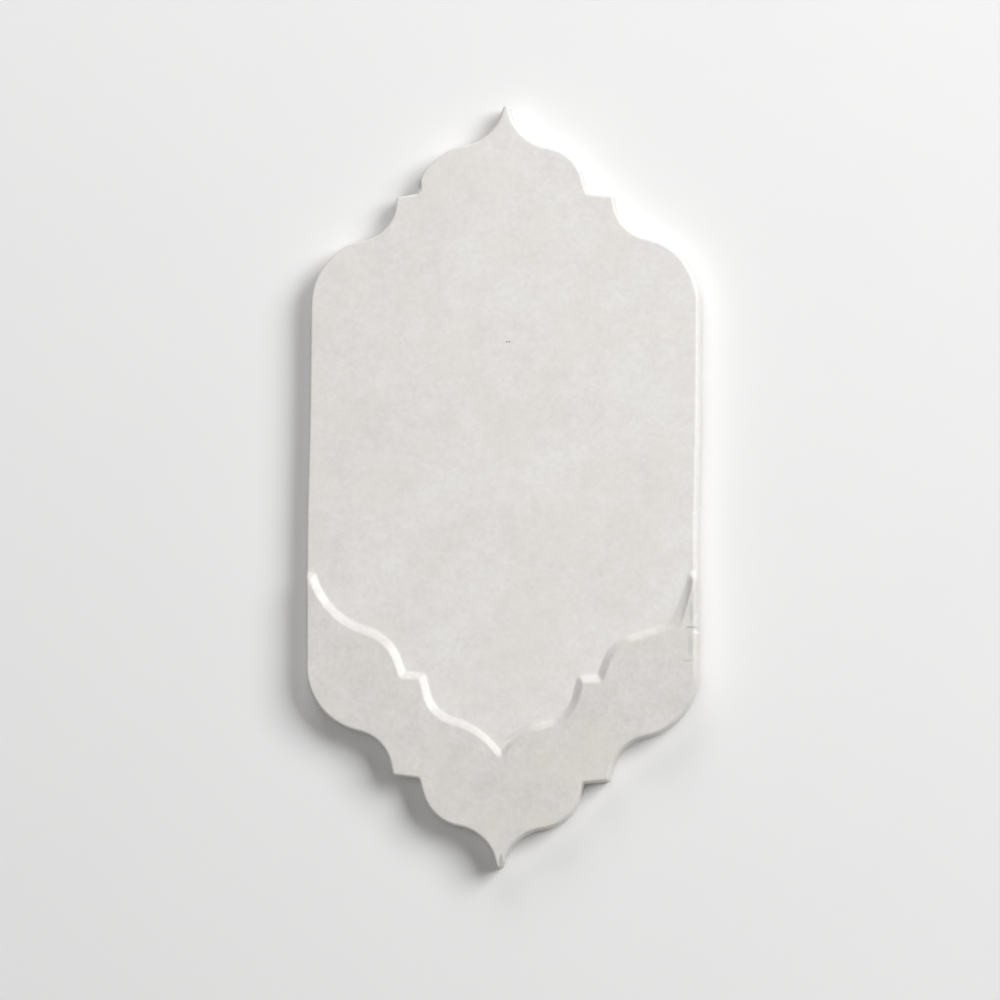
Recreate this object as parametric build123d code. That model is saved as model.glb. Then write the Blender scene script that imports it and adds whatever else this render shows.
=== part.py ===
from build123d import *
import os
from math import ceil, cos, radians, sin

# Ceramic accent tile: one fired piece, a long lantern outline with a raised band at its foot.
# Frame: it lies on its back, +Z is the face, +Y runs to the plain tip, the band is at the -Y end.
# Origin: centre of the back, on the plane the tile rests on. Sizes are millimetres and degrees.

# Overall sizes
tile_width = 150.0
tile_length = 292.0
panel_thickness = 10.0

# Outline of one end, from the straight side over the shoulder, the notch and the crown to the tip
end_length = 76.3
shoulder_radius = 25.3
notch_width = 82.5
notch_rise = 41.5
notch_lead_run = 4.5
notch_lead_lean = 12.7
step_width = 9.9
step_rise = 1.0
crown_lean = 15.8
crown_run = 6.1
crown_radius = 16.7
tip_lean = 15.1

# Softened edge round the face
rim_radius = 1.2

# Raised band at the foot of the tile, and the slope that steps down from it to the panel
band_height = 2.5
band_reach = 111.1
slope_width = 3.4
slope_foot_radius = 1.0
slope_crest_radius = 0.8

# Line along the middle of that slope: the same figure as the outline, with rounder sizes of its own
line_inset = 1.4
line_tip_setback = 43.3
line_end_length = 75.2
line_shoulder_radius = 30.4
line_notch_width = 76.1
line_notch_rise = 45.4
line_lead_run = 5.3
line_lead_lean = 19.7
line_step_width = 7.2
line_step_rise = 0.3
line_crown_lean = 13.8
line_crown_run = 6.6
line_crown_radius = 15.3
line_tip_lean = 39.8

# Keyed back: shallow grooves across the tile that hold the adhesive
groove_width = 7.0
groove_depth = 0.8
groove_pitch = 18.0
groove_margin = 12.0

# Reach of the cutting shapes past the solid they cut
clear = 1.0


def direction(heading):
    """Unit vector at a heading in degrees, counted from +X."""
    return Vector(cos(radians(heading)), sin(radians(heading)))


def arc_between(start, end, centre):
    """Short arc from start to end about a centre."""
    radius = (start - centre).length
    middle = centre + ((start + end) * 0.5 - centre).normalized() * radius
    return ThreePointArc(start, middle, end)


def ogee(start, start_heading, convex_radius, end, end_heading):
    """Convex arc that leaves start, then the hollow arc that meets it and arrives at end."""
    convex_centre = start + direction(start_heading + 90) * convex_radius
    outward = direction(end_heading - 90)
    reach = end - convex_centre
    hollow_radius = (reach.dot(reach) - convex_radius**2) / (2 * (convex_radius - reach.dot(outward)))
    hollow_centre = end + outward * hollow_radius
    meeting = convex_centre + (hollow_centre - convex_centre).normalized() * convex_radius
    return [arc_between(start, meeting, convex_centre), arc_between(meeting, end, hollow_centre)]


def shoulder(side_top, radius, notch_corner, lean, run):
    """From the top of a straight side, round the shoulder, to the corner of the notch."""
    heading = 90 + lean
    lead_start = notch_corner - direction(heading) * run
    return ogee(side_top, 90, radius, lead_start, heading) + [Line(lead_start, notch_corner)]


def crown(notch_root, lean, run, radius, tip, tip_heading):
    """From the root of the notch, round the crown, to the tip."""
    heading = 90 + lean
    crown_start = notch_root + direction(heading) * run
    return [Line(notch_root, crown_start)] + ogee(crown_start, heading, radius, tip, tip_heading)


def outline_end():
    """Right half of one end of the tile, from the top of the straight side to the tip."""
    tip = Vector(0, tile_length / 2)
    side_top = Vector(tile_width / 2, tip.Y - end_length)
    corner = Vector(notch_width / 2, side_top.Y + notch_rise)
    root = corner + Vector(-step_width, step_rise)
    shoulder_edges = shoulder(side_top, shoulder_radius, corner, notch_lead_lean, notch_lead_run)
    crown_edges = crown(root, crown_lean, crown_run, crown_radius, tip, 90 + tip_lean)
    return shoulder_edges + [Line(corner, root)] + crown_edges


def slope_line_end():
    """Right half of the line along the middle of the slope, drawn with its tip at the top."""
    tip = Vector(0, tile_length / 2 - line_tip_setback)
    side_top = Vector(tile_width / 2 - line_inset, tip.Y - line_end_length)
    corner = Vector(line_notch_width / 2, side_top.Y + line_notch_rise)
    root = corner + Vector(-line_step_width, line_step_rise)
    shoulder_edges = shoulder(side_top, line_shoulder_radius, corner, line_lead_lean, line_lead_run)
    crown_edges = crown(root, line_crown_lean, line_crown_run, line_crown_radius, tip, 90 + line_tip_lean)
    return shoulder_edges + [Line(corner, root)] + crown_edges


def lantern(right_half):
    """Closed plan from the right half of one end: two like ends joined by straight sides."""
    far_end = right_half + [edge.mirror(Plane.YZ) for edge in right_half]
    near_end = [edge.mirror(Plane.XZ) for edge in far_end]
    corner = right_half[0] @ 0
    sides = [Line((x, -corner.Y), (x, corner.Y)) for x in (corner.X, -corner.X)]
    return make_face(Wire.combine(far_end + near_end + sides)[0])


def rimmed_slab(height):
    """The outline carried up to a height, with its upper edge rounded off."""
    slab = extrude(lantern(outline_end()), height)
    return fillet(slab.faces().sort_by(Axis.Z)[-1].edges(), rim_radius)


def recess_plan(inset, height):
    """Plan of the lowered panel at a height: inside the slope's line, and open past the horns."""
    imprint = offset(lantern(slope_line_end()), -inset, kind=Kind.INTERSECTION)
    horn_y = band_reach - tile_length / 2 + inset
    open_end = Pos(0, horn_y + tile_length / 2) * Rectangle(2 * tile_width, tile_length)
    return (imprint + open_end).face().moved(Location((0, 0, height)))


def recess():
    """The space above the panel, with a sloped wall that starts below the rim's lower edge."""
    run_per_height = slope_width / band_height
    low = panel_thickness - rim_radius
    high = panel_thickness + band_height + clear
    low_plan = recess_plan(slope_width / 2 + rim_radius * run_per_height, low)
    high_plan = recess_plan(-slope_width / 2 - clear * run_per_height, high)
    return loft([low_plan, high_plan], ruled=True) + extrude(low_plan, -low - clear)


def rounded_slope(tile, level, radius):
    """Rounds the edges of the slope at one level, and leaves those where the rims begin."""
    flats = tile.faces().filter_by(Plane.XY)
    face = [flat for flat in flats if abs(flat.center().Z - level) < clear / 2][-1]
    boundary = lantern(outline_end()).face().outer_wire().moved(Location((0, 0, level)))
    nearest = rim_radius + clear / 2
    return fillet([edge for edge in face.edges() if boundary.distance_to(edge @ 0.5) > nearest], radius)


def back_grooves():
    """Grooves across the back, kept inside an even margin so that the edge of the back stays whole."""
    field = offset(lantern(outline_end()), -groove_margin, kind=Kind.INTERSECTION)
    rows = ceil(tile_length / groove_pitch / 2)
    strips = [
        Pos(0, (row + 0.5) * groove_pitch) * Rectangle(tile_width, groove_width)
        for row in range(-rows, rows)
    ]
    return [extrude(field & strip, groove_depth) for strip in strips if field & strip]


def build_tile():
    """The whole tile: slab, raised band with its softened slope, and keyed back."""
    band = rimmed_slab(panel_thickness + band_height) - recess()
    tile = rimmed_slab(panel_thickness) + band
    tile = rounded_slope(tile, panel_thickness, slope_foot_radius)
    tile = rounded_slope(tile, panel_thickness + band_height, slope_crest_radius)
    for groove in back_grooves():
        tile = tile - groove
    return tile


if __name__ == "__main__":
    os.makedirs("parts", exist_ok=True)
    tile = build_tile()
    print("solids", len(tile.solids()), "valid", tile.is_valid, "volume", tile.volume)
    export_step(tile.solid(), "parts/tile_body.step")
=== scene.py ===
"""A glazed ceramic accent tile that lies face up on a pale studio floor.

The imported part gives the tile's box and place. Its fired surface is worked out here in millimetres and
laid down in metres: the lantern outline, the glaze's rounded edges, the raised band at the foot and the
keyed clay back, as one closed skin.
"""
import logging
from cmath import phase
from collections.abc import Callable
from dataclasses import dataclass, field
from enum import IntEnum
from math import cos, pi, radians, sin, tan

import bpy
import numpy as np
from mathutils import Matrix, Vector


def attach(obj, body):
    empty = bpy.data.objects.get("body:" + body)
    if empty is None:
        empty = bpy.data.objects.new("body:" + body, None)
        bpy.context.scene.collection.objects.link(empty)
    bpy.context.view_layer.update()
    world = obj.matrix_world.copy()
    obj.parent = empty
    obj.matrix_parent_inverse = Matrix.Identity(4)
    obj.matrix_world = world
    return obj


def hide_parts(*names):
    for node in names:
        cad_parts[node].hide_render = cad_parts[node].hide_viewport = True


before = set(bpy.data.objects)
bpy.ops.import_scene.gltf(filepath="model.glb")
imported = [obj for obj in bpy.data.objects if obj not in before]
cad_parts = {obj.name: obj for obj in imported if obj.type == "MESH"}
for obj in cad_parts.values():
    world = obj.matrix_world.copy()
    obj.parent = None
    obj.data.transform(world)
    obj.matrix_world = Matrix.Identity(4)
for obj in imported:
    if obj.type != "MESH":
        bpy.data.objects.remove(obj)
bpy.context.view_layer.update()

LOG = logging.getLogger("accent_tile")

# A millimetre in metres, and the height of the panel above the floor in millimetres
MM = 0.001
PANEL_LEVEL = 10.25

# The picture's side in pixels, and the camera's sensor in millimetres
IMAGE_SIDE = 1000
SENSOR_WIDTH = 36.0

# How rough the noises are, and where a spot starts to fade and has faded, in shares of its reach
NOISE_ROUGHNESS = 0.55
SPOT_CORE = 0.5
SPOT_EDGE = 1.15

Array = np.ndarray
Colour = tuple[float, float, float]
Socket = bpy.types.NodeSocket


class Skin(IntEnum):
    """The two finishes of the fired piece, in the order of its material slots."""

    GLAZE = 0
    CLAY = 1


def ramp(distance: Array, run: float, softness: float) -> Array:
    """Rises in a straight line from 0 to 1 over a run, with both of its corners rounded.

    Formula: the difference of two hinges, one at the start and one at the end of the run, divided by the
    run. A hinge is zero before its corner, the distance after it, and a parabola within the softness.

    Args:
        distance: distance past the start of the rise.
        run: length of the rise.
        softness: half the length of each rounded corner.

    Returns:
        The share risen at each distance.
    """
    def hinge(past: Array) -> Array:
        """Zero, then a parabola, then the distance itself."""
        return np.where(past > softness, past, np.clip(past + softness, 0, None) ** 2 / (4 * softness))

    return (hinge(distance) - hinge(distance - run)) / run


def bell(distance: Array, reach: float) -> Array:
    """A bell curve: 1 where the distance is zero, and about a third at the reach."""
    return np.exp(-((distance / reach) ** 2))


def averaged(measure: Callable[[Array], Array], points: Array, reach: float) -> Array:
    """Mean of a measure over each point and eight points on a ring round it, which rounds its creases.

    Formula: twice the point's own measure and once that of each point of the ring, over ten.

    Args:
        measure: a function of plan points.
        points: plan points as complex numbers.
        reach: radius of the ring.

    Returns:
        The averaged measure at each point.
    """
    ring = reach * np.exp(0.25j * pi * np.arange(8))
    return (2 * measure(points) + sum(measure(points + step) for step in ring)) / 10


@dataclass(frozen=True)
class Undulation:
    """A smooth random relief: a sum of plane waves with seeded directions, lengths and phases."""

    height: float
    shortest: float
    longest: float
    seed: int
    waves: int = 14

    def at(self, points: Array) -> Array:
        """The relief at plan points.

        Args:
            points: plan points as complex numbers.

        Returns:
            The height above the mean surface, in the unit of height.
        """
        draw = np.random.default_rng(self.seed)
        turn = draw.uniform(0, 2 * pi, self.waves)
        wavelength = draw.uniform(self.shortest, self.longest, self.waves)
        lag = draw.uniform(0, 2 * pi, self.waves)
        way = np.exp(1j * turn) * 2 * pi / wavelength
        lifts = [np.sin((points * step.conjugate()).real + shift) for step, shift in zip(way, lag)]
        return self.height * sum(lifts) / np.sqrt(self.waves)


@dataclass(frozen=True)
class Pull:
    """A soft shift of the plan about one place, which fades with the distance from it."""

    place: complex
    reach: float
    shift: complex

    def at(self, points: Array) -> Array:
        """The shift of plan points: a bell curve about the place."""
        return self.shift * bell(abs(points - self.place), self.reach)


@dataclass(frozen=True)
class Settling:
    """How the soft clay moved in plan before it was fired.

    The right side of the foot sagged down the tile, the sides bowed, and the crown at the head and the
    foot's tip were pulled aside.
    """

    sag: float = 1.7
    sag_from: complex = -30.0 - 45.0j
    sag_run: complex = 65.0 + 40.0j
    sag_softness: float = 0.25
    bow: float = -0.6
    bow_centre: float = -18.0
    bow_reach: float = 32.0
    pulls: tuple[Pull, ...] = (
        Pull(-30.0 + 117.0j, 11.0, -3.2 + 0.3j),
        Pull(-13.0 + 138.0j, 16.0, -0.2 + 1.3j),
        Pull(0.0 - 146.0j, 7.0, -0.4 + 0.7j),
    )

    def at(self, points: Array) -> Array:
        """The shift of plan points.

        Formula: down the tile by the sag, which grows to the right and to the foot, across it by the bow,
        a bell curve along the tile, and by each pull.

        Args:
            points: plan points as complex numbers, in millimetres.

        Returns:
            The shift of each point, as a complex number.
        """
        across, along = self.sag_run.real, self.sag_run.imag
        rightwards = ramp(points.real - self.sag_from.real, across, across * self.sag_softness)
        footwards = ramp(self.sag_from.imag - points.imag, along, along * self.sag_softness)
        bowed = self.bow * bell(points.imag - self.bow_centre, self.bow_reach)
        sagged = -1j * self.sag * rightwards * footwards
        return bowed + sagged + sum(pull.at(points) for pull in self.pulls)


@dataclass(frozen=True)
class Run:
    """One stretch of the outline in plan: a straight where its turn is zero, otherwise an arc."""

    start: complex
    heading: float
    length: float
    turn: float
    spacing: float

    def along(self, share: Array | float) -> Array | complex:
        """Points at shares of the stretch: straight ahead, or turned about the arc's centre."""
        ahead = np.exp(1j * self.heading)
        if not self.turn:
            return self.start + ahead * self.length * share
        radius = self.length / self.turn
        centre = self.start + 1j * ahead * radius
        return centre - 1j * ahead * radius * np.exp(1j * self.turn * share)

    def samples(self) -> Array:
        """Points from the start up to, and without, the end, no further apart than the spacing."""
        steps = int(np.ceil(self.length / self.spacing))
        return self.along(np.arange(steps) / steps)

    def distance(self, points: Array) -> Array:
        """Distance from plan points to the stretch.

        Formula: for a straight, the distance to the foot of the perpendicular, kept between the ends. For
        an arc, the difference between the distance to the centre and the radius within its sweep, and
        the distance to the nearer end elsewhere.

        Args:
            points: plan points as complex numbers.

        Returns:
            The distance of each point.
        """
        ahead = np.exp(1j * self.heading)
        if not self.turn:
            passed = np.clip(((points - self.start) * ahead.conjugate()).real, 0, self.length)
            return abs(points - self.start - ahead * passed)
        radius = self.length / self.turn
        centre = self.start + 1j * ahead * radius
        share = np.angle((points - centre) / (self.start - centre)) / self.turn
        ends = np.minimum(abs(points - self.start), abs(points - self.along(1.0)))
        within = (share >= 0) & (share <= 1)
        return np.where(within, abs(abs(points - centre) - abs(radius)), ends)


@dataclass(frozen=True)
class Bend:
    """An arc of the outline by its radius and its turn in degrees, left positive."""

    radius: float
    turn: float
    spacing: float


@dataclass
class LanternOutline:
    """Plan of the tile: two like ends, joined by straight sides. Sizes are millimetres and degrees."""

    width: float = 150.0
    length: float = 292.0
    side: float = 139.4
    shoulder: Bend = Bend(25.3, 78.4, 0.85)
    hollow: Bend = Bend(16.2, -65.7, 0.8)
    corner: Bend = Bend(0.9, 71.3, 0.3)
    root: Bend = Bend(1.2, -68.2, 0.3)
    crown_run: float = 5.3
    crown: Bend = Bend(16.7, 65.9, 0.8)
    crown_hollow: Bend = Bend(17.5, -66.6, 0.9)
    tip_run: float = 2.5
    tip_radius: float = 1.0
    lead_spacing: float = 0.9
    step_spacing: float = 0.3
    tip_spacing: float = 0.25
    profile_steps: int = 200
    runs: list[Run] = field(init=False)
    profile: Array = field(init=False)

    def __post_init__(self) -> None:
        """Lays out the stretches and samples the finer profile that tells inside from outside."""
        self.runs = self.lay_out()
        shares = np.linspace(0, 1, self.profile_steps)
        fine = np.concatenate([run.along(shares) for run in self.runs[1:]])
        self.profile = fine[np.argsort(fine.real, kind="stable")]

    def stretches(self, lead: float, step: float) -> list[tuple[float, float, float]]:
        """The right half of one end, from the middle of the side to the tip.

        Args:
            lead: length of the straight that leads to the notch's corner.
            step: length of the notch's step.

        Returns:
            Length, turn in radians and column spacing of each stretch.
        """
        bends = [self.shoulder, self.hollow, self.corner, self.root, self.crown, self.crown_hollow]
        tip_turn = 90 - sum(bend.turn for bend in bends)
        tip = Bend(self.tip_radius, tip_turn, self.tip_spacing)

        def arc(bend: Bend) -> tuple[float, float, float]:
            """Length, turn and spacing of a bend."""
            turn = radians(bend.turn)
            return bend.radius * abs(turn), turn, bend.spacing

        return [
            (self.side / 2, 0.0, self.side),
            arc(self.shoulder),
            arc(self.hollow),
            (lead, 0.0, self.lead_spacing),
            arc(self.corner),
            (step, 0.0, self.step_spacing),
            arc(self.root),
            (self.crown_run, 0.0, self.lead_spacing),
            arc(self.crown),
            arc(self.crown_hollow),
            (self.tip_run, 0.0, self.lead_spacing),
            arc(tip),
        ]

    def chain(self, lead: float, step: float) -> list[Run]:
        """Sets the stretches end to end, each leaving in the direction that the last one arrives in."""
        place, heading, runs = complex(self.width / 2, 0), pi / 2, []
        for length, turn, spacing in self.stretches(lead, step):
            runs.append(Run(place, heading, length, turn, spacing))
            place, heading = complex(runs[-1].along(1.0)), heading + turn
        return runs

    def lay_out(self) -> list[Run]:
        """Finds the lead and the step that bring the chain to the tip, two lengths for two coordinates.

        Returns:
            The stretches of the half end, from the middle of the side to the tip.
        """
        def end(lead: float, step: float) -> complex:
            """Where the chain ends for a lead and a step."""
            return complex(self.chain(lead, step)[-1].along(1.0))

        base = end(0.0, 0.0)
        per_lead, per_step = end(1.0, 0.0) - base, end(0.0, 1.0) - base
        missing = complex(0, self.length / 2) - base
        ways = np.array([[per_lead.real, per_step.real], [per_lead.imag, per_step.imag]])
        lead, step = np.linalg.solve(ways, [missing.real, missing.imag])
        return self.chain(float(lead), float(step))

    def columns(self) -> Array:
        """Points of the head end from its left side to its right side, one for each column of the skin."""
        half = np.concatenate([run.samples() for run in self.runs[1:]] + [[complex(0, self.length / 2)]])
        return np.concatenate([-half.conj(), half[::-1][1:]])

    def rise(self, across: Array) -> Array:
        """How far the head end reaches along the tile at places across it."""
        return np.interp(abs(across), self.profile.real, self.profile.imag)

    def depth(self, points: Array) -> Array:
        """Distance inside the outline, negative outside.

        Formula: the least distance to any stretch of the quadrant that the point is folded into, with
        its sign from the outline's reach at that place across.

        Args:
            points: plan points as complex numbers.

        Returns:
            The signed distance of each point.
        """
        folded = abs(points.real) + 1j * abs(points.imag)
        nearest = np.min([run.distance(folded) for run in self.runs], axis=0)
        inside = (folded.imag < self.rise(folded.real)) & (folded.real < self.width / 2)
        return np.where(inside, nearest, -nearest)


def band_edge() -> LanternOutline:
    """The line along the middle of the band's slope: the outline's own chain of bends, drawn gentler."""
    return LanternOutline(
        width=147.2, length=202.6, side=52.2,
        shoulder=Bend(30.4, 73.7, 0.85), hollow=Bend(18.0, -54.0, 0.8),
        corner=Bend(0.6, 68.0, 0.3), root=Bend(0.6, -73.9, 0.3),
        crown_run=6.1, crown=Bend(14.5, 63.2, 0.8), crown_hollow=Bend(28.3, -37.2, 0.9),
        tip_run=2.7,
    )


@dataclass(frozen=True)
class HornSlump:
    """Where the crest of the band's slope slumped down at the right horn, while its foot stayed.

    The share is the part of the band's height that slumped.
    """

    places: tuple[float, ...] = (42.0, 49.5, 56.0, 60.5, 66.5, 68.5, 71.0, 73.2)
    depths: tuple[float, ...] = (0.0, 1.1, 1.7, 2.9, 5.6, 5.1, 2.8, 0.0)
    share: float = 0.8

    def at(self, across: Array) -> Array:
        """How far down the tile the crest slumped, at places across it."""
        return np.interp(across, self.places, self.depths)


@dataclass
class RaisedBand:
    """The thicker band at the foot, whose upper edge echoes the foot of the outline.

    The slope is the plan width of the step down to the panel. The corner rounds its foot and its crest,
    the crease rounds its bends in plan, and narrowing and fanning change its width near the tip and at
    the slumped horn.
    """

    edge: LanternOutline = field(default_factory=band_edge)
    height: float = 1.9
    slope: float = 3.0
    corner: float = 0.45
    crease: float = 0.45
    narrowing: float = 0.3
    narrow_reach: float = 13.0
    fanning: float = 0.9
    fan_centre: float = 68.3
    fan_reach: float = 2.6
    horn: float = 34.9
    drift: complex = -0.8j
    slump: HornSlump = HornSlump()

    def reach(self, across: Array) -> Array:
        """How far down the tile the slope's middle lies at places across it, never above the horns."""
        drawn = self.edge.rise(across - self.drift.real) - self.drift.imag
        return np.maximum(drawn + self.slump.at(across), self.horn)

    def fallen(self, points: Array, slumped: float) -> Array:
        """Share of the band's height lost over the slope: none on the band, all on the panel.

        Formula: a ramp over the distance past the slope's middle, which is the greater of the depth inside
        the edge's line and the distance past the ends of the two horns. The ramp narrows at the tip and
        fans out at the slumped horn.

        Args:
            points: plan points as complex numbers.
            slumped: how much of the right horn's slump this slope took part in.

        Returns:
            The share at each point.
        """
        def measure(at: Array) -> Array:
            """The distance past the middle, before its creases are rounded."""
            drawn = at - self.drift + 1j * slumped * self.slump.at(at.real)
            return np.maximum(self.edge.depth(drawn), at.imag + self.horn)

        tip = self.narrowing * bell(points.real, self.narrow_reach)
        fan = self.fanning * bell(points.real - self.fan_centre, self.fan_reach)
        width = self.slope * (1 - tip + fan)
        return ramp(averaged(measure, points, self.crease) + width / 2, width, self.corner)

    def lift(self, points: Array) -> Array:
        """Height above the panel: two slopes, one above the other, that part at the slumped horn."""
        crest, foot = self.fallen(points, 1.0), self.fallen(points, 0.0)
        return self.height * (1 - self.slump.share * crest - (1 - self.slump.share) * foot)


@dataclass
class KeyedBack:
    """The unglazed back: shallow grooves across the tile, inside an even margin.

    The draft is the plan width of a groove's wall, and the arris is the radius of the back's outer edge.
    """

    groove_width: float = 7.0
    groove_depth: float = 0.8
    pitch: float = 18.0
    margin: float = 12.0
    draft: float = 0.5
    softness: float = 0.12
    arris: float = 0.6
    wall_steps: tuple[float, ...] = (-0.75, -0.25, 0.25, 0.75)
    rim_steps: tuple[float, ...] = (0.0, 0.2, 0.5, 1.0, 2.0, 4.0, 7.5)

    def centres(self, length: float) -> Array:
        """Where the grooves lie along the tile, evenly about its middle, inside the margins."""
        rows = int((length / 2 - self.margin) / self.pitch)
        return (np.arange(-rows, rows) + 0.5) * self.pitch

    def rows(self, length: float) -> Array:
        """Places of the back's rows along the tile, close together at the walls of the grooves."""
        wall = self.groove_width / 2 + self.draft * np.array(self.wall_steps)
        across = np.concatenate([-wall[::-1], wall])
        places = (self.centres(length)[:, None] + across).ravel()
        rim = np.array(self.rim_steps)
        return np.concatenate([rim - length / 2, places, length / 2 - rim[::-1]])

    def height(self, outline: LanternOutline, points: Array) -> Array:
        """Height of the back above the floor: rounded at its edge, and raised in the grooves.

        Args:
            outline: the tile's outline.
            points: plan points as complex numbers.

        Returns:
            The height at each point.
        """
        depth = outline.depth(points)
        from_centre = (points.imag % self.pitch) - self.pitch / 2
        past_wall = abs(from_centre) - self.groove_width / 2 + self.draft / 2
        across = 1 - ramp(past_wall, self.draft, self.softness)
        within = ramp(depth - self.margin, self.draft, self.softness)
        edge = 1 - ramp(depth, self.arris, self.arris / 3)
        return self.groove_depth * across * within + self.arris * np.clip(edge, 0, 1)


@dataclass
class FiredTile:
    """The tile's whole skin: glazed face, glazed wall and bare clay back, as one closed mesh.

    The rim is the radius of the face's rounded edge, with more of it on the band and along the right
    side. The glaze ends in a wavy line on the wall, where it swells a little before it stops. The steps,
    rows and spacings are those of the mesh.
    """

    outline: LanternOutline = field(default_factory=LanternOutline)
    band: RaisedBand = field(default_factory=RaisedBand)
    back: KeyedBack = field(default_factory=KeyedBack)
    panel: float = PANEL_LEVEL
    settling: Settling = Settling()
    rim: float = 1.0
    band_rim: float = 1.1
    right_rim: float = 0.9
    right_rim_from: float = 64.0
    right_rim_run: float = 8.0
    right_rim_softness: float = 2.0
    rim_crease: float = 0.4
    warp: Undulation = Undulation(height=0.07, shortest=45, longest=120, seed=11)
    ripple: Undulation = Undulation(height=0.014, shortest=6, longest=15, seed=12)
    glaze_line: float = 1.5
    glaze_wave: Undulation = Undulation(height=0.45, shortest=9, longest=40, seed=13)
    glaze_swell: float = 0.2
    wall_wave: Undulation = Undulation(height=0.06, shortest=12, longest=45, seed=14)
    wall_shares: tuple[float, ...] = (0.22, 0.45, 0.68, 0.86, 0.96, 1.0, 1.03)
    wall_swells: tuple[float, ...] = (0.45, 0.8, 1.0, 1.1, 1.0, 0.55, 0.0)
    rim_steps: tuple[float, ...] = (
        0.0, 0.1, 0.25, 0.45, 0.7, 1.0, 1.35, 1.75, 2.2, 2.8, 3.5, 4.4, 5.5, 7.0, 9.0,
    )
    slope_rows: int = 15
    slope_spacing: float = 0.4
    past_slope: float = 5.7
    past_slope_rows: int = 8
    past_slope_spacing: float = 0.75
    band_rows: int = 15
    name: str = "tile_body_glazed"

    def face_rows(self, columns: Array, count: int) -> Array:
        """Places of the face's rows along the tile at each column.

        Formula: at the foot, the outline moved up by the rim's steps, even shares of the way to the band's
        slope, and fine steps over it. At the head, the outline moved down by the rim's steps. Between
        them, even shares of what is left.

        Args:
            columns: outline points of the columns.
            count: number of rows in all.

        Returns:
            One row of places for each row of the face.
        """
        rim = np.array(self.rim_steps)
        fine = np.arange(-self.slope_rows, self.slope_rows) * self.slope_spacing
        coarse = self.past_slope + np.arange(self.past_slope_rows) * self.past_slope_spacing
        foot = rim[:, None] - columns.imag
        slope = np.concatenate([fine, coarse])[:, None] - self.band.reach(columns.real)
        share = (np.arange(1, self.band_rows) / self.band_rows)[:, None]
        low = np.concatenate([foot, foot[-1] + (slope[0] - foot[-1]) * share, slope])
        high = columns.imag - rim[::-1, None]
        between = count - len(low) - len(high)
        share = (np.arange(1, between + 1) / (between + 1))[:, None]
        return np.concatenate([low, low[-1] + (high[0] - low[-1]) * share, high])

    def back_rows(self, columns: Array) -> Array:
        """Places of the back's rows along the tile at each column.

        Formula: straight rows, except that those past the margin at a column are drawn in evenly, so
        that the last of them lies on the outline.

        Args:
            columns: outline points of the columns.

        Returns:
            One row of places for each row of the back.
        """
        half, margin = self.outline.length / 2, self.back.margin
        rows = self.back.rows(self.outline.length)[:, None]
        start = columns.imag - margin
        drawn_in = start + margin * (abs(rows) - start) / np.maximum(half - start, margin)
        return np.sign(rows) * np.where(abs(rows) > start, drawn_in, abs(rows))

    def face_height(self, points: Array) -> Array:
        """Height of the glazed face: panel and band, waved a little, less the quarter round of the rim.

        Formula: inside the rim's radius, the drop is the radius less the height of a quarter circle at
        that depth from the outline. The radius grows with the band's lift, and along the right side.

        Args:
            points: plan points as complex numbers.

        Returns:
            The height at each point.
        """
        lift = self.band.lift(points)
        rightwards = ramp(points.real - self.right_rim_from, self.right_rim_run, self.right_rim_softness)
        radius = self.rim + (self.band_rim - self.rim) * lift / self.band.height
        radius = radius + self.right_rim * rightwards
        depth = averaged(self.outline.depth, points, self.rim_crease)
        left = radius - np.clip(depth, 0, radius)
        drop = radius - np.sqrt(np.clip(radius**2 - left**2, 0, None))
        return self.panel + lift - drop + self.warp.at(points) + self.ripple.at(points)

    def skin(self) -> tuple[Array, Array, Array, Array]:
        """Works out the closed skin.

        Returns:
            The vertices in metres, the band's share of lift at each, the four corners of each face, and
            each face's finish.
        """
        columns = self.outline.columns()
        back_y = self.back_rows(columns)
        face_y = self.face_rows(columns, len(back_y))
        face = columns.real + 1j * face_y
        back = columns.real + 1j * back_y
        face_z = self.face_height(face)
        back_z = self.back.height(self.outline, back)

        grid = np.arange(face.size).reshape(face.shape)
        edge = np.concatenate([grid[0, :-1], grid[:-1, -1], grid[-1, :0:-1], grid[:0:-1, 0]])
        rim_top = self.panel + self.band.height - self.band_rim
        face_z.ravel()[edge] = np.minimum(face_z.ravel()[edge], rim_top)
        back_z.ravel()[edge] = self.back.arris

        rings, heights, strips = self.wall(face.ravel()[edge], back.ravel()[edge], face_z.ravel()[edge])
        points = np.concatenate([face.ravel(), back.ravel(), rings.ravel()])
        height = np.concatenate([face_z.ravel(), back_z.ravel(), heights.ravel()])
        ring_ids = 2 * face.size + np.arange(rings.size).reshape(rings.shape)
        levels = np.concatenate([edge[None], ring_ids, edge[None] + face.size])

        closed = np.concatenate([levels, levels[:, :1]], axis=1)
        glazed, walled = self.quads(grid), self.quads(closed[::-1])
        keyed = self.quads(grid + face.size)[:, ::-1]
        skins = [
            np.full(len(glazed), Skin.GLAZE),
            np.repeat(strips[::-1], len(edge)),
            np.full(len(keyed), Skin.CLAY),
        ]
        settled = points + self.settling.at(points)
        vertices = np.stack([settled.real, settled.imag, height], axis=1) * MM
        lifts = self.band.lift(points) / self.band.height
        return vertices, lifts, np.concatenate([glazed, walled, keyed]), np.concatenate(skins)

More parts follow.
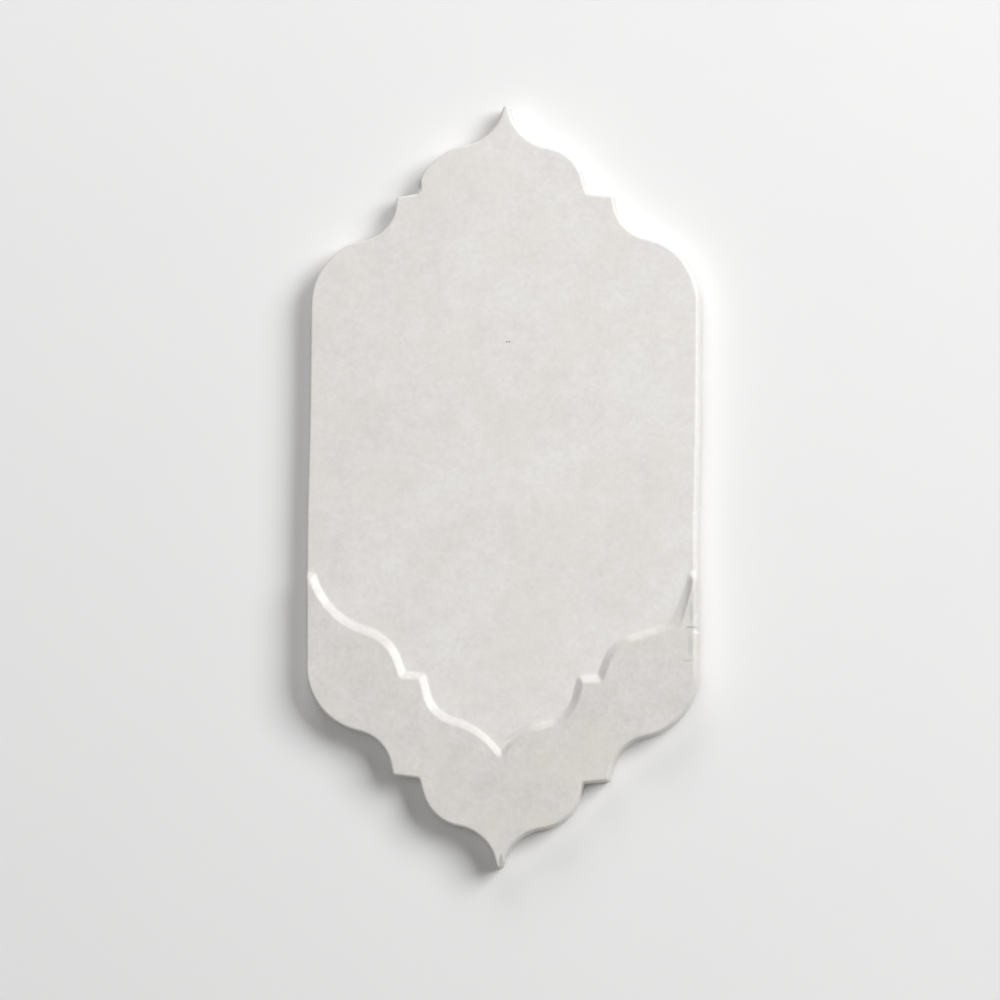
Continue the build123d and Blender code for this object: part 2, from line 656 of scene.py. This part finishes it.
    def wall(self, top: Array, foot: Array, rim_height: Array) -> tuple[Array, Array, Array]:
        """The rings of the wall between the rim and the back.

        Formula: each ring lies at a share of the way from the rim down to the glaze's wavy lower edge,
        swelling outwards as the glaze sagged. Below that edge the clay steps back to the outline.

        Args:
            top: plan points of the rim's lower edge, round the tile.
            foot: plan points of the back's edge, in the same order.
            rim_height: height of each rim point.

        Returns:
            Plan points and heights of the rings, and the finish of each strip between two rings.
        """
        plans, heights = [], []
        for share, swell in zip(self.wall_shares, self.wall_swells):
            plan = top + (foot - top) * min(share, 1.0)
            tangent = np.roll(plan, -1) - np.roll(plan, 1)
            outward = -1j * tangent / np.maximum(abs(tangent), 1e-9)
            line = self.glaze_line + self.glaze_wave.at(plan)
            out = self.glaze_swell * swell + self.wall_wave.at(plan) * min(swell, 1.0)
            plans.append(plan + outward * out)
            heights.append(rim_height + (line - rim_height) * share)
        strips = np.array([Skin.GLAZE] * len(plans) + [Skin.CLAY])
        return np.array(plans), np.array(heights), strips

    @staticmethod
    def quads(grid: Array) -> Array:
        """The four corners of each cell of a grid of vertex numbers, turned to face up or out."""
        cells = [grid[:-1, :-1], grid[:-1, 1:], grid[1:, 1:], grid[1:, :-1]]
        return np.stack([cell.ravel() for cell in cells], axis=1)

    def build(self, finishes: list[bpy.types.Material]) -> bpy.types.Object:
        """Makes the piece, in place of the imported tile.

        Args:
            finishes: the glaze and the bare clay.

        Returns:
            The finished piece.
        """
        vertices, lifts, quads, skins = self.skin()
        mesh = bpy.data.meshes.new(self.name)
        mesh.from_pydata(vertices.tolist(), [], quads.tolist())
        for finish in finishes:
            mesh.materials.append(finish)
        mesh.polygons.foreach_set("material_index", skins.astype(np.int32))
        mesh.polygons.foreach_set("use_smooth", np.ones(len(quads), bool))
        lift = mesh.attributes.new("band_lift", "FLOAT", "POINT")
        lift.data.foreach_set("value", lifts.astype(np.float32))
        mesh.update()
        piece = bpy.data.objects.new(self.name, mesh)
        bpy.context.scene.collection.objects.link(piece)
        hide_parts("tile_body")
        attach(piece, "root")
        return piece


class Recipe:
    """The node tree of a material or of the surroundings, with short calls that add and join its nodes."""

    def __init__(self, owner: bpy.types.Material | bpy.types.World) -> None:
        """Empties the owner's node tree."""
        self.owner = owner
        owner.use_nodes = True
        self.tree = owner.node_tree
        self.tree.nodes.clear()

    def add(
        self, kind: str, inputs: dict[str | int, object] | None = None, **settings: object
    ) -> bpy.types.Node:
        """Adds a node.

        Args:
            kind: the node's type, without its ShaderNode prefix.
            inputs: for each socket's name or number, the value it holds or the socket that feeds it.
            settings: the node's own options.

        Returns:
            The node.
        """
        node = self.tree.nodes.new("ShaderNode" + kind)
        for option, value in settings.items():
            setattr(node, option, value)
        for socket, value in (inputs or {}).items():
            if isinstance(value, Socket):
                self.tree.links.new(value, node.inputs[socket])
            else:
                node.inputs[socket].default_value = value
        return node

    def math(self, operation: str, first: object, second: object = 0.0) -> Socket:
        """The result of one sum on sockets or numbers."""
        return self.add("Math", {0: first, 1: second}, operation=operation).outputs[0]

    def scaled(self, value: object, gain: float, base: float = 0.0) -> Socket:
        """A value times a gain, above a base."""
        product = self.math("MULTIPLY", value, gain)
        return self.math("ADD", product, base) if base else product

    def clamped(self, value: object) -> Socket:
        """A value kept between 0 and 1."""
        return self.add("Clamp", {0: value}).outputs[0]

    def object_place(self) -> Socket:
        """The place on the object, in metres."""
        return self.add("TexCoord").outputs["Object"]

    def noise(self, place: Socket, grain: float, detail: float = 2.0) -> Socket:
        """Soft noise about 0, whose patches are about as wide as the grain, in millimetres."""
        inputs = {
            "Vector": place,
            "Scale": 1 / (grain * MM),
            "Detail": detail,
            "Roughness": NOISE_ROUGHNESS,
        }
        return self.math("SUBTRACT", self.add("TexNoise", inputs).outputs["Fac"], 0.5)

    def oval(self, place: Socket, start: complex, end: complex, width: float) -> Socket:
        """A long soft spot: 1 in its core, fading to 0 a little outside its ends and sides.

        Args:
            place: the place on the tile.
            start: one end in plan, in millimetres.
            end: the other end.
            width: width of the spot, in millimetres.

        Returns:
            The strength of the spot.
        """
        middle, half = (start + end) / 2 * MM, (end - start) / 2 * MM
        drawn = self.add("Mapping", {
            "Vector": place,
            "Location": (middle.real, middle.imag, 0.0),
            "Rotation": (0.0, 0.0, phase(half)),
            "Scale": (abs(half) + width * MM / 2, width * MM / 2, 1.0),
        }, vector_type="TEXTURE")
        away = self.add("VectorMath", {0: drawn.outputs[0]}, operation="LENGTH").outputs["Value"]
        fade = {"Value": away, "From Min": SPOT_CORE, "From Max": SPOT_EDGE}
        mottle_and_painted_light = self.add("MapRange", fade, interpolation_type="SMOOTHSTEP").outputs[0]
        return self.math("SUBTRACT", 1.0, mottle_and_painted_light)

    def blend(self, share: object, first: object, second: object) -> Socket:
        """A colour between two others.

        Args:
            share: how far towards the second colour, from 0 to 1.
            first: the first colour, plain or from a socket.
            second: the second colour, plain or from a socket.

        Returns:
            The blended colour.
        """
        def opaque(colour: object) -> object:
            """A plain colour with its alpha, or the socket as it is."""
            return (*colour, 1.0) if isinstance(colour, tuple) else colour

        node = self.add("Mix", {0: share, 6: opaque(first), 7: opaque(second)}, data_type="RGBA")
        return node.outputs[2]

    def bumped(self, relief: Socket, height: float) -> Socket:
        """The surface direction over a relief whose full height is given in millimetres."""
        bump = self.add("Bump", {"Strength": 1.0, "Distance": height * MM, "Height": relief})
        return bump.outputs[0]

    def finish(self, surface: bpy.types.Node) -> bpy.types.Material:
        """Sends a shader to the output and returns the material."""
        self.add("OutputMaterial", {"Surface": surface.outputs[0]})
        return self.owner


@dataclass(frozen=True)
class Tones:
    """The three colours that the glaze wanders between."""

    pale: Colour
    shade: Colour
    warm: Colour


@dataclass(frozen=True)
class FlawOrPaintedLight:
    """A small mark on the glaze between two plan points. Some are flaws, such as a tear or a scrape; others
    are painted light: painted shade on shaded edges, in a notch and at the tip, and a painted highlight.

    Places and widths are millimetres. Where its depth is negative, the mark stands proud.
    """

    start: complex
    end: complex
    width: float
    colour: Colour
    depth: float = 4.0


# Painted shadow: the deep shade inside the notch by the head's left crown
PAINTED_NOTCH_SHADOW: Colour = (0.43, 0.42, 0.39)
THIN_GLAZE: Colour = (0.60, 0.59, 0.56)
# Painted highlight: the lit rim along a notch step's edge
PAINTED_RIM_HIGHLIGHT: Colour = (0.90, 0.90, 0.88)


@dataclass(frozen=True)
class Glaze:
    """A satin off-white glaze, mottled by the clay beneath it, with a hard clear surface.

    Grains are the sizes of its noises and gains are their strengths. The reliefs and depths are shares of
    the height of the peel.
    """

    panel: Tones = Tones((0.791, 0.776, 0.760), (0.669, 0.646, 0.628), (0.747, 0.714, 0.655))
    band: Tones = Tones((0.739, 0.721, 0.699), (0.596, 0.578, 0.555), (0.690, 0.652, 0.580))
    pinhole: Colour = (0.12, 0.10, 0.08)
    roughness: float = 0.55
    coat: float = 0.28
    coat_roughness: float = 0.15
    roughness_spread: float = 0.12
    fine_grain: float = 1.9
    fine_gain: float = 1.15
    patch_grain: float = 7.0
    cloud_grain: float = 34.0
    cloud_gain: float = 0.85
    shade_share: float = 0.42
    # Painted light: the panel pales towards the key lamp on the right by this share per millimetre
    painted_light_per_mm: float = 0.17 / 75
    hue_grain: float = 19.0
    hue_gain: float = 1.9
    warm_share: float = 0.08
    peel_grain: float = 2.6
    peel_height: float = 0.012
    fine_relief: float = 0.25
    pinholes: tuple[complex, ...] = (1.0 + 55.0j, 2.0 + 55.1j)
    pinhole_radius: float = 0.28
    pinhole_depth: float = 8.0
    # Flaws in the glaze, and marks of painted light: painted shade on shaded edges, in a notch and at the
    # tip, and a painted highlight on a lit rim
    flaws_and_painted_light: tuple[FlawOrPaintedLight, ...] = (
        # Painted shade: the dark line along the shaded edge of the right horn's step
        FlawOrPaintedLight(72.4 - 45.0j, 72.5 - 52.8j, 1.8, (0.58, 0.58, 0.54), 2.0),
        FlawOrPaintedLight(70.6 - 54.5j, 74.6 - 54.5j, 1.2, (0.50, 0.49, 0.46)),
        FlawOrPaintedLight(73.6 - 56.2j, 74.8 - 56.3j, 1.3, (0.84, 0.83, 0.81), -1.0),
        FlawOrPaintedLight(72.0 - 57.4j, 72.2 - 65.0j, 2.4, THIN_GLAZE, 1.5),
        FlawOrPaintedLight(68.8 - 67.3j, 73.0 - 67.2j, 1.2, THIN_GLAZE),
        # Painted shadow in the notch by the head's left crown
        FlawOrPaintedLight(-33.2 + 118.0j, -32.7 + 113.6j, 1.5, PAINTED_NOTCH_SHADOW),
        # Painted highlight on the lit rim of the notch's step
        FlawOrPaintedLight(-42.8 + 111.9j, -36.0 + 112.4j, 0.9, PAINTED_RIM_HIGHLIGHT, -2.0),
        # Painted shade: the shaded left side of the foot's tip
        FlawOrPaintedLight(0.5 - 141.2j, 0.5 - 146.6j, 1.7, (0.42, 0.42, 0.38), 2.0),
        FlawOrPaintedLight(1.3 - 97.8j, 6.2 - 94.4j, 1.8, (0.65, 0.64, 0.61), 1.0),
        FlawOrPaintedLight(4.2 - 95.6j, 11.4 - 91.4j, 1.6, (0.67, 0.66, 0.63), 1.0),
    )

    def toned(self, recipe: Recipe, place: Socket, fine: Socket, patches: Socket) -> Socket:
        """Mixes the tones of the panel and the band.

        Formula: the share of the darker tone is a sum of three noises above a base. On the panel it falls
        evenly from left to right, as painted light that pales the side towards the key lamp. A fourth noise
        is the share of the warm tone.

        Args:
            recipe: the material's recipe.
            place: the place on the tile.
            fine: the finest noise.
            patches: the middle noise.

        Returns:
            The colour of the glaze, with its painted light from left to right, before its flaws and painted
            marks.
        """
        clouds = recipe.noise(place, self.cloud_grain)
        mottle = recipe.math("ADD", recipe.scaled(fine, self.fine_gain), patches)
        mottle = recipe.math("ADD", mottle, recipe.scaled(clouds, self.cloud_gain))
        mottle = recipe.math("ADD", mottle, self.shade_share)
        across = recipe.add("SeparateXYZ", {0: place}).outputs["X"]
        # Painted light: less of the darker tone towards the right, where the key lamp lights the face
        mottle_and_painted_light = recipe.math("ADD", mottle, recipe.scaled(across, -self.painted_light_per_mm / MM))
        hue = recipe.scaled(recipe.noise(place, self.hue_grain, 4.0), self.hue_gain, self.warm_share)

        def mixed(tones: Tones, share: Socket) -> Socket:
            """The colour of one part of the face, from its share of the darker tone."""
            plain = recipe.blend(recipe.clamped(share), tones.pale, tones.shade)
            return recipe.blend(recipe.clamped(hue), plain, tones.warm)

        lift = recipe.add("Attribute", attribute_name="band_lift").outputs["Fac"]
        return recipe.blend(lift, mixed(self.panel, mottle_and_painted_light), mixed(self.band, mottle))

    def marked_with_flaws_and_light(self, recipe: Recipe, place: Socket, colour: Socket, relief: Socket) -> tuple[Socket, Socket]:
        """Blends in the colour of each flaw and of each mark of painted shade and highlight, and takes its
        depth off the relief.

        Args:
            recipe: the material's recipe.
            place: the place on the tile.
            colour: the colour without flaws.
            relief: the relief without flaws.

        Returns:
            The colour and the relief with the flaws, the painted shade and highlight, and the pinholes.
        """
        marks = [
            (recipe.oval(place, mark.start, mark.end, mark.width), mark.colour, mark.depth)
            for mark in self.flaws_and_painted_light
        ]
        for hole in self.pinholes:
            centre = (hole.real * MM, hole.imag * MM, PANEL_LEVEL * MM)
            gap = recipe.add("VectorMath", {0: place, 1: centre}, operation="DISTANCE").outputs["Value"]
            pit = recipe.math("LESS_THAN", gap, self.pinhole_radius * MM)
            marks.append((pit, self.pinhole, self.pinhole_depth))
        for spot, shade, depth in marks:
            colour = recipe.blend(spot, colour, shade)
            relief = recipe.math("SUBTRACT", relief, recipe.scaled(spot, depth))
        return colour, relief

    def material(self) -> bpy.types.Material:
        """Joins the tones, the flaws, the painted light and a bump like fine orange peel under a thin clear
        coat.

        Returns:
            The glaze.
        """
        recipe = Recipe(bpy.data.materials.new("satin_glaze"))
        place = recipe.object_place()
        fine = recipe.noise(place, self.fine_grain)
        patches = recipe.noise(place, self.patch_grain, 4.0)
        tone = self.toned(recipe, place, fine, patches)
        peel = recipe.noise(place, self.peel_grain)
        even = recipe.math("ADD", peel, recipe.scaled(fine, self.fine_relief))
        colour, relief = self.marked_with_flaws_and_light(recipe, place, tone, even)
        surface = recipe.add("BsdfPrincipled", {
            "Base Color": colour,
            "Roughness": recipe.scaled(patches, self.roughness_spread, self.roughness),
            "Coat Weight": self.coat,
            "Coat Roughness": self.coat_roughness,
            "Normal": recipe.bumped(relief, self.peel_height),
        })
        return recipe.finish(surface)


@dataclass(frozen=True)
class BareClay:
    """Fired, unglazed clay: matt, gritty and a little uneven in colour."""

    pale: Colour = (0.60, 0.53, 0.44)
    shade: Colour = (0.47, 0.40, 0.32)
    grit: Colour = (0.25, 0.20, 0.16)
    roughness: float = 0.88
    roughness_spread: float = 0.15
    patch_grain: float = 22.0
    patch_gain: float = 2.2
    shade_share: float = 0.45
    grit_grain: float = 1.6
    grit_above: float = 0.2
    grit_strength: float = 0.55
    bump_height: float = 0.07

    def material(self) -> bpy.types.Material:
        """Blends two clay tones in soft patches, with dark grit and a fine sandy bump.

        Returns:
            The bare clay.
        """
        recipe = Recipe(bpy.data.materials.new("bare_clay"))
        place = recipe.object_place()
        patches = recipe.noise(place, self.patch_grain, 5.0)
        sand = recipe.noise(place, self.grit_grain, 4.0)
        share = recipe.clamped(recipe.scaled(patches, self.patch_gain, self.shade_share))
        colour = recipe.blend(share, self.pale, self.shade)
        specks = recipe.scaled(recipe.math("GREATER_THAN", sand, self.grit_above), self.grit_strength)
        colour = recipe.blend(specks, colour, self.grit)
        surface = recipe.add("BsdfPrincipled", {
            "Base Color": colour,
            "Roughness": recipe.scaled(patches, self.roughness_spread, self.roughness),
            "Normal": recipe.bumped(sand, self.bump_height),
        })
        return recipe.finish(surface)


@dataclass(frozen=True)
class PaleFloor:
    """A smooth, matt, pale studio floor."""

    pale: Colour = (0.885, 0.885, 0.885)
    shade: Colour = (0.865, 0.866, 0.868)
    roughness: float = 0.8
    specular: float = 0.2
    cloud_grain: float = 60.0
    shade_share: float = 0.5
    side: float = 8.0

    def build(self) -> bpy.types.Object:
        """Lays the floor, under the tile's back.

        Returns:
            The floor, which isn't part of the object.
        """
        recipe = Recipe(bpy.data.materials.new("pale_floor"))
        clouds = recipe.noise(recipe.object_place(), self.cloud_grain, 4.0)
        share = recipe.clamped(recipe.math("ADD", clouds, self.shade_share))
        surface = recipe.add("BsdfPrincipled", {
            "Base Color": recipe.blend(share, self.pale, self.shade),
            "Roughness": self.roughness,
            "Specular IOR Level": self.specular,
        })
        half = self.side / 2
        mesh = bpy.data.meshes.new("studio_floor")
        corners = [(-half, -half, 0), (half, -half, 0), (half, half, 0), (-half, half, 0)]
        mesh.from_pydata(corners, [], [(0, 1, 2, 3)])
        mesh.materials.append(recipe.finish(surface))
        floor = bpy.data.objects.new("studio_floor", mesh)
        bpy.context.scene.collection.objects.link(floor)
        return floor


@dataclass(frozen=True)
class Lamp:
    """A square softbox that looks at the tile from a direction and gives a share of the light level."""

    name: str
    azimuth: float
    elevation: float
    distance: float
    side: float
    share: float
    colour: Colour = (1.0, 1.0, 1.0)

    def build(self) -> bpy.types.Object:
        """Hangs the softbox.

        Formula: a level face gets light as the power times the sine of the elevation, over pi times the
        distance squared, and pi times the share is what that part of the level needs.

        Returns:
            The lamp.
        """
        light = bpy.data.lights.new(self.name, "AREA")
        light.shape = "SQUARE"
        light.size = self.side
        light.color = self.colour
        light.energy = self.share * pi * pi * self.distance**2 / sin(radians(self.elevation))
        lamp = bpy.data.objects.new(self.name, light)
        turn, rise = radians(self.azimuth), radians(self.elevation)
        way = Vector((cos(turn) * cos(rise), sin(turn) * cos(rise), sin(rise)))
        lamp.location = way * self.distance
        lamp.rotation_mode = "QUATERNION"
        lamp.rotation_quaternion = way.to_track_quat("Z", "Y")
        bpy.context.scene.collection.objects.link(lamp)
        return lamp


@dataclass
class Studio:
    """Soft light, pale surroundings and the camera over the tile.

    The camera tilts towards the foot and leans to the right, in degrees, and the tile's centre is its
    place in the picture, in pixels from the top left corner.
    """

    lamps: tuple[Lamp, ...] = (
        Lamp("key_softbox", azimuth=28, elevation=40, distance=3.0, side=1.7, share=0.60),
        Lamp("head_softbox", azimuth=100, elevation=30, distance=1.7, side=0.8, share=0.14),
        Lamp("overhead_softbox", 200, 79, 3.0, 2.1, 0.19, colour=(1.0, 0.975, 0.95)),
    )
    sky: Colour = (1.0, 1.0, 1.0)
    sky_share: float = 0.085
    backdrop_strength: float = 0.93
    floor: PaleFloor = PaleFloor()
    camera_distance: float = 2.0
    camera_tilt: float = 4.5
    camera_lean: float = 5.5
    camera_roll: float = -0.45
    camera_clip: tuple[float, float] = (0.05, 50.0)
    pixels_per_mm: float = 2.615
    tile_centre: complex = 502.9 + 484.9j

    def build_sky(self) -> None:
        """Lights the scene evenly from all round, and shows a pale backdrop to the camera and in gloss."""
        world = bpy.data.worlds.new("soft_surroundings")
        bpy.context.scene.world = world
        recipe = Recipe(world)
        rays = recipe.add("LightPath").outputs
        clear = recipe.math("MAXIMUM", rays["Is Glossy Ray"], rays["Is Transmission Ray"])
        seen = recipe.math("MAXIMUM", rays["Is Camera Ray"], clear)
        strengths = {"Value": seen, "To Min": self.sky_share, "To Max": self.backdrop_strength}
        strength = recipe.add("MapRange", strengths).outputs[0]
        background = recipe.add("Background", {"Color": (*self.sky, 1.0), "Strength": strength})
        recipe.add("OutputWorld", {"Surface": background.outputs[0]})

    def build_camera(self) -> bpy.types.Object:
        """Sets the camera nearly straight above, leaning a little to the foot and the right.

        Returns:
            The camera.
        """
        data = bpy.data.cameras.new("studio_camera")
        data.sensor_width = SENSOR_WIDTH
        data.lens = data.sensor_width * self.pixels_per_mm * self.camera_distance / MM / IMAGE_SIDE
        data.clip_start, data.clip_end = self.camera_clip
        camera = bpy.data.objects.new("studio_camera", data)
        middle = complex(IMAGE_SIDE / 2, IMAGE_SIDE / 2)
        aim = (middle - self.tile_centre) / self.pixels_per_mm
        target = Vector((aim.real, -aim.imag, PANEL_LEVEL)) * MM
        lean, tilt = tan(radians(self.camera_lean)), tan(radians(self.camera_tilt))
        back = Vector((lean, -tilt, 1.0)).normalized()
        right = Vector((1.0, 0.0, -back.x / back.z)).normalized()
        turn = Matrix((right, back.cross(right), back)).transposed()
        roll = Matrix.Rotation(radians(-self.camera_roll), 3, "Z")
        place = Matrix.Translation(target + back * self.camera_distance)
        camera.matrix_world = place @ (turn @ roll).to_4x4()
        bpy.context.scene.collection.objects.link(camera)
        bpy.context.scene.camera = camera
        return camera

    def build(self) -> None:
        """Builds the floor, the light and the camera."""
        self.floor.build()
        self.build_sky()
        for lamp in self.lamps:
            lamp.build()
        self.build_camera()


def main() -> None:
    """Builds the tile and the studio round it, and reports each piece."""
    logging.basicConfig(level=logging.INFO, format="%(message)s")
    finishes = [Glaze().material(), BareClay().material()]
    tile = FiredTile().build(finishes)
    LOG.info("%s: %d vertices, %d faces", tile.name, len(tile.data.vertices), len(tile.data.polygons))
    Studio().build()
    LOG.info("studio: floor, softboxes and camera")
    bpy.context.scene.view_settings.view_transform = "Standard"
    bpy.context.view_layer.update()


if __name__ == "__main__":
    main()
